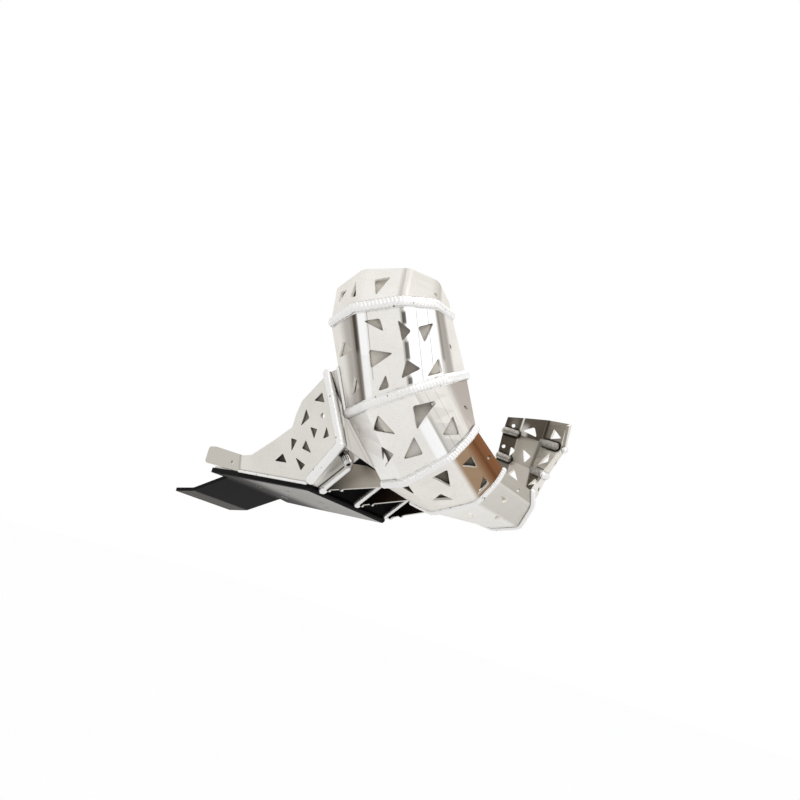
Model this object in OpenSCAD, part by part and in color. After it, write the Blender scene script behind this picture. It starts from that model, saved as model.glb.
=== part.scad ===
/*
Motorcycle skid plate with a folded exhaust guard, in millimetres.
X points to the front of the bike, Y to its left and Z up.
The origin is the middle of the floor's upper face, where the frame of the bike rests.
The guard is eight folded sheets, cut open with triangles and welded end to end.
*/

/* [Floor and front] */

// Width of the flat floor
floor_width = 200; // [180:5:240]
// Length of the flat floor behind its front bend, to its rear corners
floor_length = 225; // [200:5:260]
// How far the rear edge stands forward between those corners
rear_cut = 10; // [4:1:16]
// Thickness of the aluminium sheet
sheet = 4; // [3:0.5:5]
// Height of the lower front panel, which leans at 45 degrees
lower_front = 60; // [50:2:70]
// Height of the front panel above that fold
upper_front = 94; // [70:2:110]
// How far the upper front panel leans back over its height
upper_lean = 38; // [20:2:50]
// Lean of the side walls from upright, in degrees
wall_lean = 18.3; // [10:0.5:24]
// Corner rounding of the folded floor sheet
floor_bend = 6; // [4:1:10]

/* [Side walls] */

// Distance of the rear tab's fold behind the front bend
tab_fold = 150; // [140:5:160]
// Height of the wall at that fold, along its slope
wall_back = 26; // [22:1:30]
// Length of the rear tab behind its fold
tab_length = 100; // [70:2:110]
// Turn of the rear tab inwards, in degrees
tab_turn = 5; // [0:1:12]
// Radius of the round hole in each rear tab
tab_hole = 3.5; // [2.5:0.25:5]
// Radius of the round hole near the front of each wall
wall_hole = 4.2; // [3:0.2:6]
// Thickness of the dark liner inside each wall
liner_sheet = 1.5; // [1:0.5:2]

/* [Plastic bottom] */

// Thickness of the plastic bottom
plastic = 8; // [6:1:12]
// Thickness of the plastic flap behind the floor
flap_sheet = 6; // [4:1:8]
// Width of the flap
flap_width = 130; // [100:5:160]
// Length of the sloping part of the flap
flap_length = 82; // [60:2:110]
// Length of the bent lip at the end of the flap
flap_lip = 47; // [30:1:60]
// Slope of the flap below level, in degrees
flap_drop = 24; // [16:1:30]
// Slope of its lip below level, in degrees
lip_drop = 8; // [0:1:12]
// Radius of the screws through the plastic
screw_radius = 3; // [2.5:0.5:4]

/* [Exhaust guard] */

// Height of the pipe line at the top of the right arm
right_top = 280; // [270:5:290]
// Height of the pipe line at the top of the left arm
left_top = 190; // [185:5:205]
// Height of the pipe line in the foot, at its left end
foot_low = 100; // [90:5:105]
// Distance of the foot's pipe line in front of the floor's bend
foot_reach = 145; // [135:5:155]
// Distance of the right arm's pipe line outside the right wall's foot
right_out = 35; // [30:5:45]
// Distance of the left arm's pipe line outside the left wall's foot
left_out = 10; // [5:5:20]
// Radius of the folds round the pipe line at the top of the right arm
guard_right = 82; // [76:1:90]
// Radius of the folds round the pipe line at the top of the left arm
guard_left = 113; // [104:1:120]
// Length taken by each fold on either side of its line
guard_bend = 7; // [5:1:9]
// Corner rounding of the triangular cut-outs of the guard, half as much in the walls
cut_round = 4; // [2:0.25:5]
// Radius of the small round holes along the guard
guard_hole = 3.2; // [2.5:0.1:4]
// Height of the weld beads over the sheet
bead_height = 3; // [2:0.25:4]
// Thickness of the bent sheet inside the guard
inner_sheet = 2.5; // [2:0.5:3]
// Radius of the short weld beads inside the left arm
inner_bead = 6.25; // [5:0.25:7]

/* [Ribs and bolts] */

// Distance of the right rib inside the right wall's foot
rib_right_inset = 30; // [22:1:40]
// Distance of the middle rib to the left of the middle of the floor
rib_centre_y = 15; // [0:1:25]
// Distance of the left rib inside the left wall's foot
rib_left_inset = 5; // [2:1:20]
// Distance of the front bolts below the fold above them
bolt_drop = 7; // [7:1:14]
// Distance of the front bolts from the side walls
bolt_inset = 15; // [15:1:30]
// Radius of the two front bolts
bolt_radius = 4; // [3:0.5:5]
// Play of a bolt in its hole, on the radius
bolt_play = 0.3; // [0.2:0.05:0.5]
// Length of the sleeve on each front bolt
sleeve_length = 10; // [6:1:14]

/* [Hidden] */

$fn = 32;
eps = 0.01;
half = floor_width / 2;
right_arm = -half - right_out;
left_arm = half + left_out;
rib_right_y = rib_right_inset - half;
rib_left_y = half - rib_left_inset;

// Small helpers for points in space

function unit(v) = v / norm(v);
function mix(a, b, f) = a + (b - a) * f;

// Rounds one corner b between a and c with a short curve
function soft(a, b, c, r) =
    let (p = b + unit(a - b) * r, q = b + unit(c - b) * r)
    [for (f = [0, 1 / 3, 2 / 3, 1]) (1 - f) * (1 - f) * p + 2 * f * (1 - f) * b + f * f * q];

// Rounds each corner of a closed outline
function soft_loop(pts, r) =
    let (n = len(pts))
    [for (i = [0:n - 1]) each soft(pts[(i + n - 1) % n], pts[i], pts[(i + 1) % n], r)];

// Rounds the inner corners of an open line
function soft_line(pts, r) =
    let (n = len(pts))
    concat([pts[0]], [for (i = [1:n - 2]) each soft(pts[i - 1], pts[i], pts[i + 1], r)], [pts[n - 1]]);

// Moves an open line in a plane to its left by d
function left_of(v) = [-v[1], v[0]];
function beside(pts, d) =
    let (n = len(pts))
    [for (i = [0:n - 1])
        let (
            a = left_of(unit(pts[max(i, 1)] - pts[max(i, 1) - 1])),
            b = left_of(unit(pts[min(i, n - 2) + 1] - pts[min(i, n - 2)]))
        )
        pts[i] + (a + b) * d / (1 + a * b)];

function backwards(pts) = [for (i = [len(pts) - 1:-1:0]) pts[i]];

// A folded strip: the outer line and the same line moved by the sheet thickness
function folded(pts, d) = concat(pts, backwards(beside(pts, d)));

// Puts a drawing of X and Z into place and gives it a width along Y
module across(width) {
    translate([0, width / 2, 0])
        rotate([90, 0, 0])
            linear_extrude(width)
                children();
}

// Stands a child on a point with its own Z along a direction
module aim(p, d) {
    translate(p)
        rotate([0, acos(d[2] / norm(d)), atan2(d[1], d[0])])
            children();
}

// A straight weld bead with round ends
module weld(a, b, r) {
    h = norm(b - a);
    aim(a, b - a)
        rotate_extrude($fn = 24)
            polygon(concat(
                [for (t = [0:30:90]) [r * sin(t), -r * cos(t)]],
                [for (t = [90:-30:0]) [r * sin(t), h + r * cos(t)]]
            ));
}

module both_sides() {
    children();
    mirror([0, 1, 0])
        children();
}

// Brings the front bend from the drawing's origin to its place
module place() {
    translate([floor_length / 2, 0, -sheet])
        children();
}

// Floor and front panel, one folded sheet

knee = [lower_front, lower_front];
front_top = [lower_front - upper_lean, lower_front + upper_front];
flare = tan(wall_lean);
slope = cos(wall_lean);
// Width of a wall's sheet, measured level
lap = sheet / slope;
function half_at(z) = half + flare * z;

// Ends of the side seams, at the floor, at the fold and at the top
function seam_point(i, s) =
    i == 0 ? [0, s * half, 0] :
    i == 1 ? [knee[0], s * half_at(knee[1]), knee[1]] :
    [front_top[0], s * half_at(front_top[1]), front_top[1]];

tail = floor_length - tab_fold;
tail_in = tail * tan(tab_turn);

// Outline of the floor's rear end, at the outside or moved in by d
function rear_edge(d) = [
    [-tab_fold, half - d], [-floor_length, half - d - tail_in],
    [-floor_length + rear_cut, flap_width / 2], [-floor_length + rear_cut, -flap_width / 2],
    [-floor_length, d + tail_in - half], [-tab_fold, d - half]
];

screw_places = [
    [-0.38, 0.48], [-0.38, -0.48], [-0.76, 0.32], [-0.76, -0.32], [-0.25, 0], [-0.58, 0]
];
// Radius of the round nuts pressed into the floor
nut_radius = screw_radius * 1.8;

module at_screws() {
    for (s = screw_places)
        translate([s[0] * floor_length, s[1] * half, 0])
            children();
}

bolt_x = lower_front - bolt_drop;
bolt_y = half_at(bolt_x) - bolt_inset;

module at_bolts() {
    both_sides()
        translate([bolt_x, bolt_y, bolt_x])
            rotate([0, 135, 0])
                children();
}

module floor_panel() {
    line = soft_line([[-floor_length, 0], [0, 0], knee, front_top], floor_bend);
    top = front_top[1] + 10;
    color([0.83, 0.83, 0.81])
        place()
            difference() {
                intersection() {
                    across(3 * floor_width)
                        polygon(folded(line, sheet));
                    rotate([90, 0, 90])
                        translate([0, 0, -floor_length - 5])
                            linear_extrude(floor_length + lower_front + 15)
                                polygon([
                                    [lap - half, -5], [half - lap, -5], [half - lap, 0],
                                    [half_at(top) - lap, top], [lap - half_at(top), top], [lap - half, 0]
                                ]);
                    translate([0, 0, -5])
                        linear_extrude(top + 10)
                            polygon(concat(
                                [[knee[0] + 10, -3 * half], [knee[0] + 10, 3 * half]], rear_edge(lap)
                            ));
                }
                at_screws()
                    translate([0, 0, -1])
                        cylinder(r = nut_radius, h = sheet + 2);
                at_bolts()
                    translate([0, 0, -sheet - 2])
                        cylinder(r = bolt_radius + bolt_play, h = sheet + 4);
            }
}

// Side walls

wall_top = front_top[1] / slope;

// Upper edge from the tab's fold to the top, in hundredths of the wall's height
wall_edge = [[-77, 18], [-49, 34], [-25, 49], [-21, 62], [-15, 74]];
// Triangular cut-outs and round hole of the wall, in the same measure
wall_cuts = [
    [[9, 83], [0, 75], [13, 74]],
    [[-9, 67], [-4, 59], [-14, 51]],
    [[-2, 51], [7, 50], [4, 41]],
    [[18, 53], [22, 45], [15, 42]],
    [[-25, 39], [-17, 38], [-23, 27]],
    [[-6, 39], [-10, 31], [2, 28]],
    [[-34, 24], [-44, 16], [-28, 16]],
    [[-17, 22], [-4, 17], [-9, 11]]
];
wall_hole_place = [12, 62];
tab_hole_place = [22, 12];

module wall_sheet() {
    translate([0, -half, 0])
        rotate([90 + wall_lean, 0, 0])
            translate([0, 0, -sheet])
                difference() {
                    union() {
                        linear_extrude(sheet)
                            polygon(concat(
                                [[-tab_fold, 0], [0, 0], [knee[0], knee[1] / slope]],
                                [[front_top[0], wall_top]],
                                backwards([for (q = wall_edge) q * wall_top / 100]),
                                [[-tab_fold, wall_back]]
                            ));
                        translate([-tab_fold, 0, sheet])
                            rotate([0, -tab_turn, 0])
                                translate([0, 0, -sheet])
                                    linear_extrude(sheet)
                                        tab_outline();
                    }
                    for (t = wall_cuts)
                        translate([0, 0, -1])
                            linear_extrude(sheet + 2)
                                polygon(soft_loop(t * wall_top / 100, cut_round / 2));
                    translate(wall_hole_place * wall_top / 100)
                        translate([0, 0, -1])
                            cylinder(r = wall_hole, h = sheet + 2);
                    translate([-tab_fold, 0, sheet])
                        rotate([0, -tab_turn, 0])
                            translate([-tab_hole_place[0], tab_hole_place[1], -sheet - 1])
                                cylinder(r = tab_hole, h = sheet + 2);
                }
}

module tab_outline() {
    polygon([
        [0.6, 0], [0.6, wall_back], [-tab_length * 0.76, wall_back * 1.25],
        [-tab_length * 0.87, wall_back * 1.22], [-tab_length * 0.92, wall_back * 1.08],
        [-tab_length, wall_back * 0.28], [-tab_length + 4, wall_back * 0.14]
    ]);
}

module wall_right() {
    color([0.84, 0.84, 0.82])
        place()
            wall_sheet();
}

module wall_left() {
    color([0.84, 0.84, 0.82])
        place()
            mirror([0, 1, 0])
                wall_sheet();
}

// Dark liners, set back from every edge of the walls

knee_rise = lower_front / slope;
liner_low = 0.09 * wall_top;
liner_high = 0.88 * wall_top;

// Front edge of a wall at a height along its slope
function wall_front(v) =
    v < knee_rise ? v * slope : mix(knee[0], front_top[0], (v - knee_rise) / (wall_top - knee_rise));

module liner_sheets() {
    translate([0, -half, 0])
        rotate([90 + wall_lean, 0, 0])
            translate([0, 0, -sheet - liner_sheet])
                difference() {
                    linear_extrude(liner_sheet)
                        polygon(concat(
                            [for (v = [liner_low, knee_rise, liner_high]) [wall_front(v) - sheet - 8, v]],
                            backwards([for (q = wall_edge) (q + [4, -3]) * wall_top / 100]),
                            [[(wall_edge[0][0] + 4) * wall_top / 100, liner_low]]
                        ));
                    translate(wall_hole_place * wall_top / 100)
                        translate([0, 0, -1])
                            cylinder(r = wall_hole + 0.5, h = liner_sheet + 2);
                }
}

module wall_liner_right() {
    color([0.2, 0.19, 0.18])
        place()
            liner_sheets();
}

module wall_liner_left() {
    color([0.2, 0.19, 0.18])
        place()
            mirror([0, 1, 0])
                liner_sheets();
}

// Plastic bottom with its flap over the linkage

flap_start = [-floor_length + rear_cut, -plastic];
flap_end = flap_start + flap_length * [-cos(flap_drop), -sin(flap_drop)];
flap_tip = flap_end + flap_lip * [-cos(lip_drop), -sin(lip_drop)];

module plastic_bottom() {
    slab = [
        [-floor_length, -plastic], [-2, -plastic], [1.5, -plastic + 3], [2, -2], [0, 0],
        [-floor_length, 0]
    ];
    flap = soft_line(
        [flap_tip, flap_end, flap_start, flap_start + [20, 0]], 5
    );
    color([0.08, 0.08, 0.09])
        place()
            difference() {
                union() {
                    intersection() {
                        across(floor_width)
                            polygon(slab);
                        translate([0, 0, -plastic - 1])
                            linear_extrude(plastic + 2)
                                polygon(concat([[10, -half], [10, half]], rear_edge(0)));
                    }
                    across(flap_width)
                        polygon(folded(flap, flap_sheet));
                }
                at_screws() {
                    translate([0, 0, -plastic - 1])
                        cylinder(r = screw_radius + 0.25, h = plastic + 2);
                    translate([0, 0, -plastic - eps])
                        cylinder(r1 = 2 * screw_radius + 0.3, r2 = screw_radius + 0.25, h = screw_radius);
                }
            }
}

module plastic_screws() {
    color([0.55, 0.56, 0.58])
        place()
            at_screws()
                translate([0, 0, -plastic])
                    difference() {
                        union() {
                            cylinder(r = screw_radius, h = plastic + sheet - 0.5);
                            cylinder(r1 = 2 * screw_radius, r2 = screw_radius, h = screw_radius);
                        }
                        translate([0, 0, -1])
                            cylinder(r = screw_radius * 0.75, h = 3, $fn = 6);
                    }
}

module plastic_nuts() {
    color([0.6, 0.6, 0.62])
        place()
            at_screws()
                difference() {
                    cylinder(r = nut_radius, h = sheet - 0.3);
                    translate([0, 0, -1])
                        cylinder(r = screw_radius, h = sheet + 2);
                }
}

// Exhaust guard: pipe line at each weld, then the azimuth and rise of its outer side

stations = [
    [85, right_arm, right_top, -35, 5],
    [95, right_arm, right_top - 35, -35, -10],
    [115, right_arm + 55, foot_low + 55, -30, -25],
    [foot_reach, right_arm + 85, foot_low + 5, -10, -30],
    [foot_reach - 5, left_arm - 80, foot_low + 10, 15, -45],
    [foot_reach, left_arm + 10, foot_low, 35, -30],
    [foot_reach + 5, left_arm, foot_low + 40, 60, -20],
    [foot_reach + 20, left_arm, left_top - 12, 65, -10],
    [foot_reach + 20, left_arm - 5, left_top, 60, -5]
];
// Turn of each fold line round the pipe line: right arm, foot and left arm
folds_right = [-95, -50, -5, 30, 70];
folds_foot = [-70, -45, 0, 25, 35];
folds_left = [-55, -40, -15, 30, 50];
last = len(stations) - 1;

function folds(k) =
    k <= 2 ? folds_right :
    k <= 4 ? folds_foot :
    k == 5 ? (folds_foot + folds_left) / 2 : folds_left;
function pipe(k) = [for (i = [0:2]) stations[k][i]];
function run(k) = unit(pipe(k + 1) - pipe(k));
function tangent(k) = k == 0 ? run(0) : k == last ? run(last - 1) : unit(run(k - 1) + run(k));
function square_to(v, t) = unit(v - t * (v * t));
function outward(k) =
    let (a = stations[k][3], e = stations[k][4])
    square_to([cos(a) * cos(e), sin(a) * cos(e), sin(e)], tangent(k));
function fold_radius(k) = mix(guard_right, guard_left, k / last);
function corner(k, j) =
    let (n = outward(k), l = cross(n, tangent(k)), t = folds(k)[j])
    pipe(k) + fold_radius(k) * (sin(t) * l + cos(t) * n);

corners = [for (k = [0:last]) [for (j = [0:4]) corner(k, j)]];

// Points of the outer line of the sheet at each weld, with its folds rounded
outer = [for (k = [0:last]) soft_line(corners[k], guard_bend)];
points_across = len(outer[0]);

// A point on a facet, as shares of its length and of its width
function on_facet(s, j, f, g) =
    mix(mix(corners[s][j], corners[s][j + 1], g), mix(corners[s + 1][j], corners[s + 1][j + 1], g), f);
function facet_normal(s, j) =
    let (
        n = unit(cross(corners[s + 1][j + 1] - corners[s][j], corners[s][j + 1] - corners[s + 1][j])),
        m = on_facet(s, j, 0.5, 0.5) - (pipe(s) + pipe(s + 1)) / 2
    )
    n * m > 0 ? n : -n;

normals = [for (s = [0:last - 1]) [for (j = [0:3]) facet_normal(s, j)]];

// Outward direction at one point of the line, in one sheet
function sheet_normal(s, i) =
    i == 0 ? normals[s][0] :
    i == points_across - 1 ? normals[s][3] :
    let (b = floor((i - 1) / 4), f = ((i - 1) % 4) / 3)
    unit(mix(normals[s][b], normals[s][b + 1], f));

// Way through the sheet at a weld, shared by the two sheets that meet there
function through(k, i) =
    let (a = sheet_normal(max(k - 1, 0), i), b = sheet_normal(min(k, last - 1), i))
    (a + b) / (1 + a * b);

inner = [for (k = [0:last]) [for (i = [0:points_across - 1]) outer[k][i] - sheet * through(k, i)]];

// Sides between two rings of n points, cut the same way on the outer and the inner face
function sides(n, a, b) =
    [for (i = [0:n - 1])
        let (m = (i + 1) % n)
        each i < n / 2 || m == 0 ?
            [[a + i, a + m, b + m], [a + i, b + m, b + i]] :
            [[a + i, a + m, b + i], [a + m, b + m, b + i]]];

// Closed skin of a bent sheet along rings of points, each ring being one cross-section
module skin(rings) {
    n = len(rings[0]);
    m = len(rings) - 1;
    e = m * n;
    polyhedron(
        points = [for (r = rings) each r],
        faces = concat(
            [for (a = [0:m - 1]) each sides(n, a * n, (a + 1) * n)],
            [for (i = [0:n / 2 - 2]) each [
                [i + 1, i, n - 1 - i], [i + 1, n - 1 - i, n - 2 - i],
                [e + i, e + i + 1, e + n - 1 - i], [e + i + 1, e + n - 2 - i, e + n - 1 - i]
            ]]
        )
    );
}

// Triangular cut-outs: sheet, facet, then three corners as shares along and across it
guard_cuts = [
    [0, 0, [0.30, 0.50], [0.20, 0.20], [0.55, 0.20]],
    [0, 0, [0.20, 0.80], [0.60, 0.70], [0.70, 0.95]],
    [0, 1, [0.30, 0.30], [0.25, 0.65], [0.75, 0.40]],
    [1, 0, [0.25, 0.40], [0.40, 0.10], [0.40, 0.75]],
    [1, 0, [0.65, 0.70], [0.85, 0.40], [0.80, 0.85]],
    [1, 1, [0.15, 0.15], [0.15, 0.50], [0.30, 0.55]],
    [1, 1, [0.45, 0.20], [0.55, 0.70], [0.65, 0.20]],
    [1, 1, [0.75, 0.50], [0.90, 0.30], [0.90, 0.55]],
    [1, 1, [0.20, 0.85], [0.35, 1.10], [0.45, 0.90]],
    [1, 1, [0.65, 0.95], [0.80, 1.20], [0.85, 0.80]],
    [1, 2, [0.30, 0.35], [0.25, 0.85], [0.50, 0.50]],
    [1, 2, [0.70, 0.85], [0.90, 0.90], [0.90, 0.45]],
    [2, 0, [0.15, 0.10], [0.25, 0.25], [0.35, 0.10]],
    [2, 1, [0.15, 0.15], [0.45, 0.30], [0.30, -0.10]],
    [2, 1, [0.50, -0.10], [0.65, 0.10], [0.75, -0.30]],
    [2, 1, [0.20, 0.85], [0.25, 1.30], [0.50, 0.70]],
    [2, 1, [0.55, 0.60], [0.80, 0.60], [0.75, 0.20]],
    [2, 2, [0.55, 0.75], [0.85, 0.70], [0.70, 0.15]],
    [3, 1, [0.05, -0.15], [0.05, 0.05], [0.35, 0.00]],
    [3, 1, [0.15, 0.50], [0.15, 0.85], [0.50, 0.70]],
    [3, 1, [0.65, 0.20], [0.55, 0.45], [0.80, 0.60]],
    [3, 2, [0.25, 0.20], [0.25, 0.70], [0.50, 0.65]],
    [3, 2, [0.70, 0.65], [0.90, 0.70], [0.90, 0.10]],
    [4, 1, [0.30, 0.25], [0.25, 0.55], [0.40, 0.45]],
    [4, 1, [0.65, 0.60], [0.50, 0.90], [0.60, 1.00]],
    [4, 2, [0.25, 0.65], [0.45, 0.65], [0.40, 0.45]],
    [5, 1, [0.80, 0.05], [0.90, 0.25], [0.70, 0.60]],
    [5, 2, [0.70, 0.10], [0.85, 0.45], [0.75, 0.80]],
    [6, 0, [0.50, 0.70], [0.40, 1.05], [0.10, 0.75]],
    [6, 1, [0.55, 0.35], [0.40, 0.80], [0.10, 0.60]],
    [6, 2, [0.75, 0.55], [0.45, 0.70], [0.20, 0.30]],
    [7, 1, [0.30, 0.10], [0.60, 0.55], [0.15, 0.75]],
    [7, 2, [0.70, 0.40], [0.40, 0.80], [0.25, 0.35]]
];
// Small round holes: sheet, facet, share along and across
guard_holes = [
    [0, 2, 0.60, 0.95], [1, 3, 0.55, 0.45], [2, 3, 0.55, 0.45], [3, 3, 0.55, 0.50],
    [4, 3, 0.55, 0.40], [5, 3, 0.45, 0.40], [6, 3, 0.50, 0.35], [6, 0, 0.40, 0.25], [7, 0, 0.45, 0.50]
];

module triangle_cutter(s, j, t) {
    n = normals[s][j];
    loop = soft_loop([for (c = t) on_facet(s, j, c[0], c[1])], cut_round);
    m = len(loop);
    turn = cross(loop[4] - loop[0], loop[8] - loop[0]) * n;
    ring = turn > 0 ? loop : backwards(loop);
    polyhedron(
        points = concat([for (q = ring) q + n * 9], [for (q = ring) q - n * (sheet + 9)]),
        faces = concat(
            [[for (i = [m - 1:-1:0]) i]],
            [[for (i = [0:m - 1]) m + i]],
            [for (i = [0:m - 1]) [i, (i + 1) % m, m + (i + 1) % m, m + i]]
        )
    );
}

// Rings of each sheet, so that its twisted facets stay smooth
guard_steps = 4;
function guard_ring(s, f) = concat(
    [for (i = [0:points_across - 1]) mix(outer[s][i], outer[s + 1][i], f)],
    [for (i = [points_across - 1:-1:0]) mix(inner[s][i], inner[s + 1][i], f)]
);

module guard_sheet(s) {
    color([0.86, 0.86, 0.84])
        place()
            difference() {
                skin([for (f = [0:guard_steps]) guard_ring(s, f / guard_steps)]);
                for (c = guard_cuts)
                    if (c[0] == s)
                        triangle_cutter(s, c[1], [c[2], c[3], c[4]]);
                for (h = guard_holes)
                    if (h[0] == s)
                        aim(on_facet(s, h[1], h[2], h[3]), -normals[s][h[1]])
                            translate([0, 0, -6])
                                cylinder(r = guard_hole, h = sheet + 12, $fn = 20);
            }
}

module guard_1() { guard_sheet(0); }
module guard_2() { guard_sheet(1); }
module guard_3() { guard_sheet(2); }
module guard_4() { guard_sheet(3); }
module guard_5() { guard_sheet(4); }
module guard_6() { guard_sheet(5); }
module guard_7() { guard_sheet(6); }
module guard_8() { guard_sheet(7); }

// Weld beads round the outside, where two guard sheets meet

bead_widths = [0, 16, 15, 13, 11, 11, 12, 12];

function bead_ring(k, i) =
    let (
        p = outer[k][i],
        w = bead_widths[k] / 2,
        u = unit(outer[k - 1][i] - p),
        v = unit(outer[k + 1][i] - p),
        n = unit(through(k, i)),
        h = bead_height
    )
    [p, p + w * u, p + w * 0.55 * u + 0.75 * h * n, p + h * n, p + w * 0.55 * v + 0.75 * h * n, p + w * v];

module bead(k) {
    color([0.9, 0.9, 0.89])
        place()
            tube([for (i = [0:points_across - 1]) bead_ring(k, i)]);
}

module bead_1() { bead(1); }
module bead_2() { bead(2); }
module bead_3() { bead(3); }
module bead_4() { bead(4); }
module bead_5() { bead(5); }
module bead_6() { bead(6); }
module bead_7() { bead(7); }

// Short beads inside the left arm: weld, facet, start and end across it
inner_bead_places = [[6, 0, 0.1, 0.85], [6, 2, 0.3, 0.85], [7, 0, 0.1, 0.9], [7, 2, 0.15, 0.8]];

module inner_beads() {
    color([0.8, 0.8, 0.8])
        place()
            for (b = inner_bead_places) {
                n = unit(normals[b[0] - 1][b[1]] + normals[b[0]][b[1]]);
                ends = [for (f = [b[2], b[3]])
                    mix(corners[b[0]][b[1]], corners[b[0]][b[1] + 1], f) - (inner_bead + 1) * n];
                aim(ends[0], ends[1] - ends[0])
                    cylinder(r = inner_bead, h = norm(ends[1] - ends[0]), $fn = 24);
            }
}

// Bent sheet inside the guard: at its lower edge, behind its first fold and behind its third
inner_top = 0.12;
inner_last = 4;
inner_line = [for (k = [0:inner_last]) [for (i = [0, 4, 9])
    k == 0 ? mix(inner[0][i], inner[1][i], inner_top) : inner[k][i]]];

function inner_face(s, f) =
    let (
        a = inner_line[s][f],
        n = unit(cross(inner_line[s][f + 1] - a, inner_line[s + 1][f] - a))
    )
    n * normals[s][f] > 0 ? -n : n;
// Way through this sheet at one point of its line, from the faces that meet there
function inner_way(k, i) =
    let (
        faces = [for (s = [max(k - 1, 0):min(k, inner_last - 1)]) for (f = [max(i - 1, 0):min(i, 1)])
            inner_face(s, f)],
        v = [for (c = [0:2]) sum_at(faces, c)]
    )
    v * len(faces) / (v * v) * inner_sheet;
function sum_at(rows, c) = [for (q = rows) 1] * [for (q = rows) q[c]];

module inner_plate() {
    color([0.78, 0.77, 0.74])
        place()
            skin([for (k = [0:inner_last]) concat(
                inner_line[k],
                [for (i = [2:-1:0]) inner_line[k][i] + inner_way(k, i)]
            )]);
}

// Closed skin along a row of rings, with flat ends
module tube(rings) {
    n = len(rings[0]);
    m = len(rings);
    polyhedron(
        points = [for (r = rings) each r],
        faces = concat(
            [for (a = [0:m - 2]) each sides(n, a * n, (a + 1) * n)],
            [for (i = [1:n - 2]) [0, i + 1, i]],
            [for (i = [1:n - 2]) [(m - 1) * n, (m - 1) * n + i, (m - 1) * n + i + 1]]
        )
    );
}

// Ribs from the front panel to the lower edge of the guard

// Where the lower edge of the guard crosses a plane of constant Y
function edge_at(y) =
    let (
        k = [for (i = [2:4]) if (corners[i][0][1] <= y && corners[i + 1][0][1] > y) i][0],
        a = corners[k][0],
        b = corners[k + 1][0]
    )
    mix(a, b, (y - a[1]) / (b[1] - a[1]));

rib_foot = 6;
rib_top = lower_front - 14;

module rib(y) {
    e = edge_at(y);
    color([0.7, 0.69, 0.67])
        place() {
            translate([0, y, 0])
                across(sheet)
                    polygon([
                        [rib_foot, 0], [e[0] - 4, e[2]], [e[0] + 10, e[2] + 4], [e[0] - 2, e[2] + 14],
                        [rib_top + 30, rib_top], [rib_top, rib_top], [rib_foot, rib_foot]
                    ]);
            for (f = [0.1, 0.3])
                translate([mix(rib_foot, e[0], f), y + sheet / 2, f * e[2] + 0.5])
                    rotate([90, 0, 0])
                        cylinder(r = 3, h = sheet);
        }
}

module rib_right() { rib(rib_right_y); }
module rib_centre() { rib(rib_centre_y); }
module rib_left() { rib(rib_left_y); }

module rib_beads() {
    color([0.9, 0.9, 0.89])
        place() {
            rib_bead(rib_right_y, 7);
            rib_bead(rib_centre_y, 6);
            rib_bead(rib_left_y, 5);
        }
}

// The thicker a rib's weld, the further out it lies, so that it stays on its side of the sheet
module rib_bead(y, r) {
    drop = r - 2.6;
    weld([rib_foot, y, rib_foot - drop], [rib_top - 3, y, rib_top - 3 - drop], r);
}

// Gusset between the right end of the front panel and the edge of the guard

gusset_low = seam_point(1, -1);
gusset_high = seam_point(2, -1);
guard_high = mix(corners[1][0], corners[2][0], 0.5);
guard_mid = corners[2][0];
guard_low = mix(corners[2][0], corners[3][0], 0.78);

module gusset() {
    face = [gusset_high, gusset_low, guard_low, guard_mid, guard_high];
    a = unit(cross(face[1] - face[0], face[3] - face[0]));
    b = unit(cross(face[2] - face[1], face[3] - face[1]));
    c = unit(cross(face[3] - face[0], face[4] - face[0]));
    way = [unit(a + c), unit(a + b), b, unit(a + b), c];
    color([0.8, 0.79, 0.77])
        place()
            polyhedron(
                points = concat(face, [for (i = [0:4]) face[i] - sheet * way[i]]),
                faces = concat(
                    [[0, 3, 1], [1, 3, 2], [0, 4, 3], [5, 6, 8], [6, 7, 8], [5, 8, 9]],
                    [for (i = [0:4]) each [[i, (i + 1) % 5, 5 + (i + 1) % 5], [i, 5 + (i + 1) % 5, 5 + i]]]
                )
            );
}

module gusset_bead() {
    color([0.9, 0.9, 0.89])
        place()
            weld(guard_high, guard_mid, 3.2);
}

// Seams of the side walls

module front_bead() {
    weld(mix(seam_point(0, -1), seam_point(1, -1), 0.12), seam_point(1, -1), 7.5);
}

module upper_bead() {
    weld(seam_point(1, -1), seam_point(2, -1), 7);
}

module floor_bead() {
    weld([-tab_fold, -half, 1], [-2, -half, 1], 2.6);
}

module front_bead_right() {
    color([0.9, 0.9, 0.89])
        place()
            front_bead();
}

module front_bead_left() {
    color([0.9, 0.9, 0.89])
        place()
            mirror([0, 1, 0])
                front_bead();
}

module upper_bead_right() {
    color([0.9, 0.9, 0.89])
        place()
            upper_bead();
}

module upper_bead_left() {
    color([0.9, 0.9, 0.89])
        place()
            mirror([0, 1, 0])
                upper_bead();
}

module floor_bead_right() {
    color([0.9, 0.9, 0.89])
        place()
            floor_bead();
}

module floor_bead_left() {
    color([0.9, 0.9, 0.89])
        place()
            mirror([0, 1, 0])
                floor_bead();
}

// Front bolts, each with a washer, a nut and a sleeve

washer_sheet = 1.6;
nut_height = bolt_radius * 1.6;
sleeve_foot = washer_sheet + nut_height;
head_foot = sleeve_foot + sleeve_length;

module front_bolts() {
    color([0.5, 0.5, 0.5])
        place()
            at_bolts()
                difference() {
                    union() {
                        translate([0, 0, -sheet - 10])
                            cylinder(r = bolt_radius, h = sheet + 10 + head_foot + eps);
                        translate([0, 0, head_foot])
                            cylinder(r = bolt_radius * 1.6, h = bolt_radius * 1.1);
                    }
                    translate([0, 0, head_foot + bolt_radius * 0.4])
                        cylinder(r = bolt_radius * 0.9, h = bolt_radius, $fn = 6);
                }
}

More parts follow.
